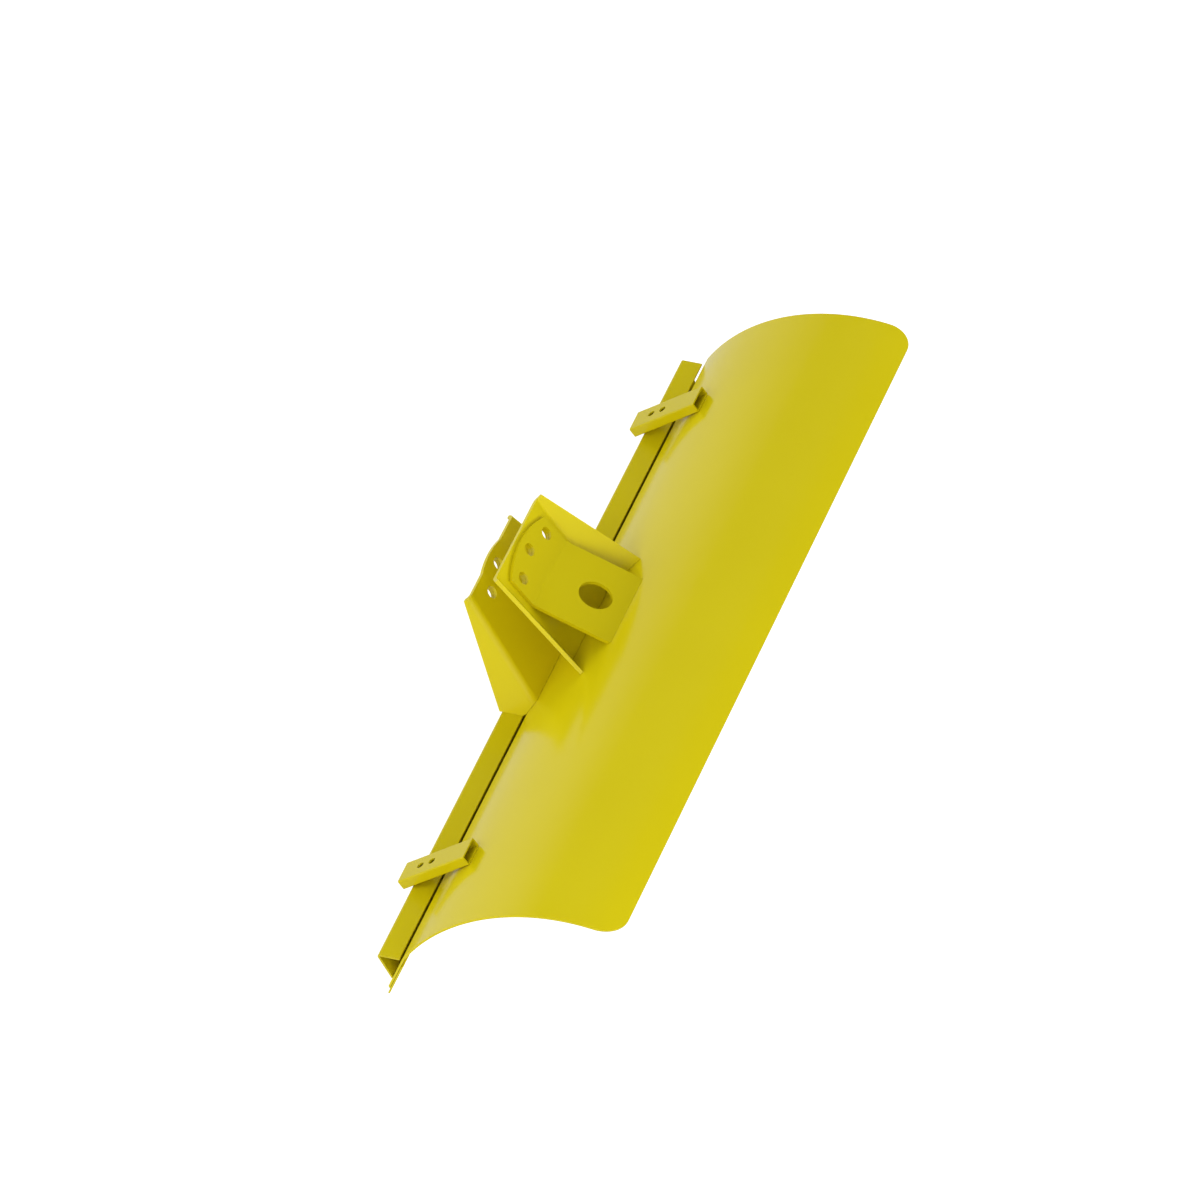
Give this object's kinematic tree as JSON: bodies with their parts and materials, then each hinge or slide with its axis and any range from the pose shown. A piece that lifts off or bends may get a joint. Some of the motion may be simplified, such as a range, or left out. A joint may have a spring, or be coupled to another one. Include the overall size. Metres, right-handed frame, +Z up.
{
  "type": "dozer blade",
  "caption": "Rolled dozer blade with a V stiffener, wear strip, shoe sockets and a slotted centre hitch whose index holes set its angle on a compact loader.",
  "frame": {"origin": "on the ground the wear strip stands on, under the middle of the blade's length and of its depth; the kingpin axis of the hitch stands 10.6 mm behind it", "axes": "+X along the blade to its right end, seen from behind; +Y forward, to the pushing side; +Z up"},
  "size_m": [1.2, 0.2592, 0.3483],
  "materials": {
    "yellow_paint": "semi-gloss"
  },
  "bodies": {
    "root": {"mouldboard": "yellow_paint", "cutting_edge": "yellow_paint", "bottom_stiffener": "yellow_paint", "right_shoe_socket": "yellow_paint", "left_shoe_socket": "yellow_paint", "upper_hitch_tray": "yellow_paint", "upper_index_plate": "yellow_paint", "lower_hitch_tray": "yellow_paint", "lower_index_plate": "yellow_paint"}
  },
  "joints": []
}
